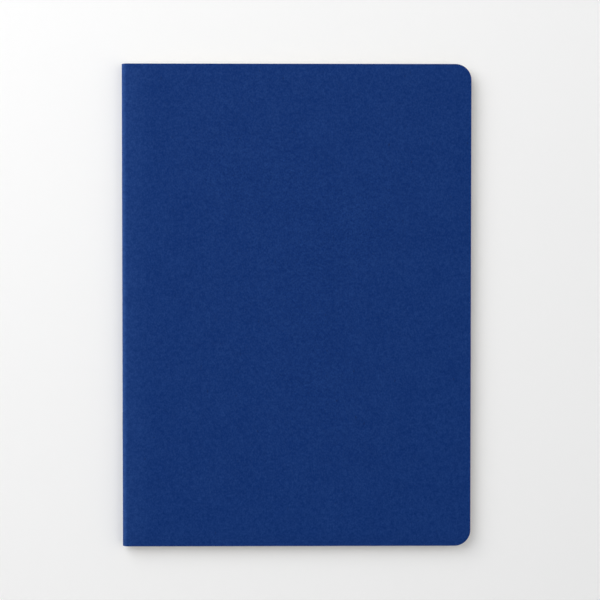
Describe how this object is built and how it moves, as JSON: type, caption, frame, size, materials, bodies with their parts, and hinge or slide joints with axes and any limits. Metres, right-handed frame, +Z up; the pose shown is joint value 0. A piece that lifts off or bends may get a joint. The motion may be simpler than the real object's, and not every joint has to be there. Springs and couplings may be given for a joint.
{
  "type": "stapled notebook",
  "caption": "Thin stapled notebook with a plain round-cornered card cover; the cover opens, the leaves turn about the folded spine.",
  "frame": {"origin": "middle of the shut notebook's footprint, on the surface that its back cover lies on", "axes": "+Z up through the front cover, +Y along the spine towards the head, +X from the spine towards the fore-edge"},
  "size_m": [0.1522, 0.21, 0.0051],
  "materials": {
    "cover_card": "matte",
    "leaf_paper": "matte",
    "staple_wire": "satin"
  },
  "bodies": {
    "back_cover": {"back_cover": "cover_card"},
    "spine": {"cover_spine": "cover_card", "sheet_fold_01": "leaf_paper", "sheet_fold_02": "leaf_paper", "sheet_fold_03": "leaf_paper", "sheet_fold_04": "leaf_paper", "sheet_fold_05": "leaf_paper", "sheet_fold_06": "leaf_paper", "sheet_fold_07": "leaf_paper", "sheet_fold_08": "leaf_paper", "sheet_fold_09": "leaf_paper", "sheet_fold_10": "leaf_paper", "sheet_fold_11": "leaf_paper", "sheet_fold_12": "leaf_paper", "sheet_fold_13": "leaf_paper", "sheet_fold_14": "leaf_paper", "sheet_fold_15": "leaf_paper", "sheet_fold_16": "leaf_paper", "staple_head": "staple_wire", "staple_tail": "staple_wire"},
    "back_leaf_01": {"back_leaf_01": "leaf_paper"},
    "back_leaf_02": {"back_leaf_02": "leaf_paper"},
    "back_leaf_03": {"back_leaf_03": "leaf_paper"},
    "back_leaf_04": {"back_leaf_04": "leaf_paper"},
    "back_leaf_05": {"back_leaf_05": "leaf_paper"},
    "back_leaf_06": {"back_leaf_06": "leaf_paper"},
    "back_leaf_07": {"back_leaf_07": "leaf_paper"},
    "back_leaf_08": {"back_leaf_08": "leaf_paper"},
    "back_leaf_09": {"back_leaf_09": "leaf_paper"},
    "back_leaf_10": {"back_leaf_10": "leaf_paper"},
    "back_leaf_11": {"back_leaf_11": "leaf_paper"},
    "back_leaf_12": {"back_leaf_12": "leaf_paper"},
    "back_leaf_13": {"back_leaf_13": "leaf_paper"},
    "back_leaf_14": {"back_leaf_14": "leaf_paper"},
    "back_leaf_15": {"back_leaf_15": "leaf_paper"},
    "back_leaf_16": {"back_leaf_16": "leaf_paper"},
    "front_leaf_01": {"front_leaf_01": "leaf_paper"},
    "front_leaf_02": {"front_leaf_02": "leaf_paper"},
    "front_leaf_03": {"front_leaf_03": "leaf_paper"},
    "front_leaf_04": {"front_leaf_04": "leaf_paper"},
    "front_leaf_05": {"front_leaf_05": "leaf_paper"},
    "front_leaf_06": {"front_leaf_06": "leaf_paper"},
    "front_leaf_07": {"front_leaf_07": "leaf_paper"},
    "front_leaf_08": {"front_leaf_08": "leaf_paper"},
    "front_leaf_09": {"front_leaf_09": "leaf_paper"},
    "front_leaf_10": {"front_leaf_10": "leaf_paper"},
    "front_leaf_11": {"front_leaf_11": "leaf_paper"},
    "front_leaf_12": {"front_leaf_12": "leaf_paper"},
    "front_leaf_13": {"front_leaf_13": "leaf_paper"},
    "front_leaf_14": {"front_leaf_14": "leaf_paper"},
    "front_leaf_15": {"front_leaf_15": "leaf_paper"},
    "front_leaf_16": {"front_leaf_16": "leaf_paper"},
    "front_cover": {"front_cover": "cover_card"}
  },
  "joints": [
    {"name": "centre_open", "type": "hinge", "parent": "back_cover", "child": "front_leaf_01", "pos_m": [-0.07336, 0, 0.00256], "axis": [0, -1, 0], "range_deg": [0, 180]},
    {"name": "spine_roll", "type": "hinge", "parent": "back_cover", "child": "spine", "pos_m": [-0.07336, 0, 0.00256], "axis": [0, -1, 0], "range_deg": [0, 90]},
    {"name": "front_leaf_02_turn", "type": "hinge", "parent": "back_cover", "child": "front_leaf_02", "pos_m": [-0.07336, 0, 0.00256], "axis": [0, -1, 0], "range_deg": [0, 180]},
    {"name": "front_leaf_03_turn", "type": "hinge", "parent": "back_cover", "child": "front_leaf_03", "pos_m": [-0.07336, 0, 0.00256], "axis": [0, -1, 0], "range_deg": [0, 180]},
    {"name": "front_leaf_04_turn", "type": "hinge", "parent": "back_cover", "child": "front_leaf_04", "pos_m": [-0.07336, 0, 0.00256], "axis": [0, -1, 0], "range_deg": [0, 180]},
    {"name": "front_leaf_05_turn", "type": "hinge", "parent": "back_cover", "child": "front_leaf_05", "pos_m": [-0.07336, 0, 0.00256], "axis": [0, -1, 0], "range_deg": [0, 180]},
    {"name": "front_leaf_06_turn", "type": "hinge", "parent": "back_cover", "child": "front_leaf_06", "pos_m": [-0.07336, 0, 0.00256], "axis": [0, -1, 0], "range_deg": [0, 180]},
    {"name": "front_leaf_07_turn", "type": "hinge", "parent": "back_cover", "child": "front_leaf_07", "pos_m": [-0.07336, 0, 0.00256], "axis": [0, -1, 0], "range_deg": [0, 180]},
    {"name": "front_leaf_08_turn", "type": "hinge", "parent": "back_cover", "child": "front_leaf_08", "pos_m": [-0.07336, 0, 0.00256], "axis": [0, -1, 0], "range_deg": [0, 180]},
    {"name": "front_leaf_09_turn", "type": "hinge", "parent": "back_cover", "child": "front_leaf_09", "pos_m": [-0.07336, 0, 0.00256], "axis": [0, -1, 0], "range_deg": [0, 180]},
    {"name": "front_leaf_10_turn", "type": "hinge", "parent": "back_cover", "child": "front_leaf_10", "pos_m": [-0.07336, 0, 0.00256], "axis": [0, -1, 0], "range_deg": [0, 180]},
    {"name": "front_leaf_11_turn", "type": "hinge", "parent": "back_cover", "child": "front_leaf_11", "pos_m": [-0.07336, 0, 0.00256], "axis": [0, -1, 0], "range_deg": [0, 180]},
    {"name": "front_leaf_12_turn", "type": "hinge", "parent": "back_cover", "child": "front_leaf_12", "pos_m": [-0.07336, 0, 0.00256], "axis": [0, -1, 0], "range_deg": [0, 180]},
    {"name": "front_leaf_13_turn", "type": "hinge", "parent": "back_cover", "child": "front_leaf_13", "pos_m": [-0.07336, 0, 0.00256], "axis": [0, -1, 0], "range_deg": [0, 180]},
    {"name": "front_leaf_14_turn", "type": "hinge", "parent": "back_cover", "child": "front_leaf_14", "pos_m": [-0.07336, 0, 0.00256], "axis": [0, -1, 0], "range_deg": [0, 180]},
    {"name": "front_leaf_15_turn", "type": "hinge", "parent": "back_cover", "child": "front_leaf_15", "pos_m": [-0.07336, 0, 0.00256], "axis": [0, -1, 0], "range_deg": [0, 180]},
    {"name": "front_leaf_16_turn", "type": "hinge", "parent": "back_cover", "child": "front_leaf_16", "pos_m": [-0.07336, 0, 0.00256], "axis": [0, -1, 0], "range_deg": [0, 180]},
    {"name": "back_leaf_01_turn", "type": "hinge", "parent": "back_cover", "child": "back_leaf_01", "pos_m": [-0.07336, 0, 0.00256], "axis": [0, -1, 0], "range_deg": [0, 180]},
    {"name": "back_leaf_02_turn", "type": "hinge", "parent": "back_cover", "child": "back_leaf_02", "pos_m": [-0.07336, 0, 0.00256], "axis": [0, -1, 0], "range_deg": [0, 180]},
    {"name": "back_leaf_03_turn", "type": "hinge", "parent": "back_cover", "child": "back_leaf_03", "pos_m": [-0.07336, 0, 0.00256], "axis": [0, -1, 0], "range_deg": [0, 180]},
    {"name": "back_leaf_04_turn", "type": "hinge", "parent": "back_cover", "child": "back_leaf_04", "pos_m": [-0.07336, 0, 0.00256], "axis": [0, -1, 0], "range_deg": [0, 180]},
    {"name": "back_leaf_05_turn", "type": "hinge", "parent": "back_cover", "child": "back_leaf_05", "pos_m": [-0.07336, 0, 0.00256], "axis": [0, -1, 0], "range_deg": [0, 180]},
    {"name": "back_leaf_06_turn", "type": "hinge", "parent": "back_cover", "child": "back_leaf_06", "pos_m": [-0.07336, 0, 0.00256], "axis": [0, -1, 0], "range_deg": [0, 180]},
    {"name": "back_leaf_07_turn", "type": "hinge", "parent": "back_cover", "child": "back_leaf_07", "pos_m": [-0.07336, 0, 0.00256], "axis": [0, -1, 0], "range_deg": [0, 180]},
    {"name": "back_leaf_08_turn", "type": "hinge", "parent": "back_cover", "child": "back_leaf_08", "pos_m": [-0.07336, 0, 0.00256], "axis": [0, -1, 0], "range_deg": [0, 180]},
    {"name": "back_leaf_09_turn", "type": "hinge", "parent": "back_cover", "child": "back_leaf_09", "pos_m": [-0.07336, 0, 0.00256], "axis": [0, -1, 0], "range_deg": [0, 180]},
    {"name": "back_leaf_10_turn", "type": "hinge", "parent": "back_cover", "child": "back_leaf_10", "pos_m": [-0.07336, 0, 0.00256], "axis": [0, -1, 0], "range_deg": [0, 180]},
    {"name": "back_leaf_11_turn", "type": "hinge", "parent": "back_cover", "child": "back_leaf_11", "pos_m": [-0.07336, 0, 0.00256], "axis": [0, -1, 0], "range_deg": [0, 180]},
    {"name": "back_leaf_12_turn", "type": "hinge", "parent": "back_cover", "child": "back_leaf_12", "pos_m": [-0.07336, 0, 0.00256], "axis": [0, -1, 0], "range_deg": [0, 180]},
    {"name": "back_leaf_13_turn", "type": "hinge", "parent": "back_cover", "child": "back_leaf_13", "pos_m": [-0.07336, 0, 0.00256], "axis": [0, -1, 0], "range_deg": [0, 180]},
    {"name": "back_leaf_14_turn", "type": "hinge", "parent": "back_cover", "child": "back_leaf_14", "pos_m": [-0.07336, 0, 0.00256], "axis": [0, -1, 0], "range_deg": [0, 180]},
    {"name": "back_leaf_15_turn", "type": "hinge", "parent": "back_cover", "child": "back_leaf_15", "pos_m": [-0.07336, 0, 0.00256], "axis": [0, -1, 0], "range_deg": [0, 180]},
    {"name": "back_leaf_16_turn", "type": "hinge", "parent": "back_cover", "child": "back_leaf_16", "pos_m": [-0.07336, 0, 0.00256], "axis": [0, -1, 0], "range_deg": [0, 180]},
    {"name": "cover_open", "type": "hinge", "parent": "front_leaf_01", "child": "front_cover", "pos_m": [-0.07234, 0, 0.00526], "axis": [0, -1, 0], "range_deg": [0, 180]}
  ],
  "couplings": [
    {"joint": "spine_roll", "follows": "centre_open", "ratio": 0.5},
    {"joint": "front_leaf_02_turn", "follows": "centre_open", "ratio": 0.99962},
    {"joint": "front_leaf_03_turn", "follows": "centre_open", "ratio": 0.99892},
    {"joint": "front_leaf_04_turn", "follows": "centre_open", "ratio": 0.99801},
    {"joint": "front_leaf_05_turn", "follows": "centre_open", "ratio": 0.99694},
    {"joint": "front_leaf_06_turn", "follows": "centre_open", "ratio": 0.99572},
    {"joint": "front_leaf_07_turn", "follows": "centre_open", "ratio": 0.99438},
    {"joint": "front_leaf_08_turn", "follows": "centre_open", "ratio": 0.99292},
    {"joint": "front_leaf_09_turn", "follows": "centre_open", "ratio": 0.99135},
    {"joint": "front_leaf_10_turn", "follows": "centre_open", "ratio": 0.98967},
    {"joint": "front_leaf_11_turn", "follows": "centre_open", "ratio": 0.9879},
    {"joint": "front_leaf_12_turn", "follows": "centre_open", "ratio": 0.98604},
    {"joint": "front_leaf_13_turn", "follows": "centre_open", "ratio": 0.9841},
    {"joint": "front_leaf_14_turn", "follows": "centre_open", "ratio": 0.98207},
    {"joint": "front_leaf_15_turn", "follows": "centre_open", "ratio": 0.97996},
    {"joint": "front_leaf_16_turn", "follows": "centre_open", "ratio": 0.97778},
    {"joint": "back_leaf_01_turn", "follows": "centre_open", "ratio": 0.000347},
    {"joint": "back_leaf_02_turn", "follows": "centre_open", "ratio": 0.000982},
    {"joint": "back_leaf_03_turn", "follows": "centre_open", "ratio": 0.001804},
    {"joint": "back_leaf_04_turn", "follows": "centre_open", "ratio": 0.002778},
    {"joint": "back_leaf_05_turn", "follows": "centre_open", "ratio": 0.003882},
    {"joint": "back_leaf_06_turn", "follows": "centre_open", "ratio": 0.005103},
    {"joint": "back_leaf_07_turn", "follows": "centre_open", "ratio": 0.006431},
    {"joint": "back_leaf_08_turn", "follows": "centre_open", "ratio": 0.007857},
    {"joint": "back_leaf_09_turn", "follows": "centre_open", "ratio": 0.009375},
    {"joint": "back_leaf_10_turn", "follows": "centre_open", "ratio": 0.01098},
    {"joint": "back_leaf_11_turn", "follows": "centre_open", "ratio": 0.012668},
    {"joint": "back_leaf_12_turn", "follows": "centre_open", "ratio": 0.014434},
    {"joint": "back_leaf_13_turn", "follows": "centre_open", "ratio": 0.016275},
    {"joint": "back_leaf_14_turn", "follows": "centre_open", "ratio": 0.018189},
    {"joint": "back_leaf_15_turn", "follows": "centre_open", "ratio": 0.020172},
    {"joint": "back_leaf_16_turn", "follows": "centre_open", "ratio": 0.022222}
  ]
}
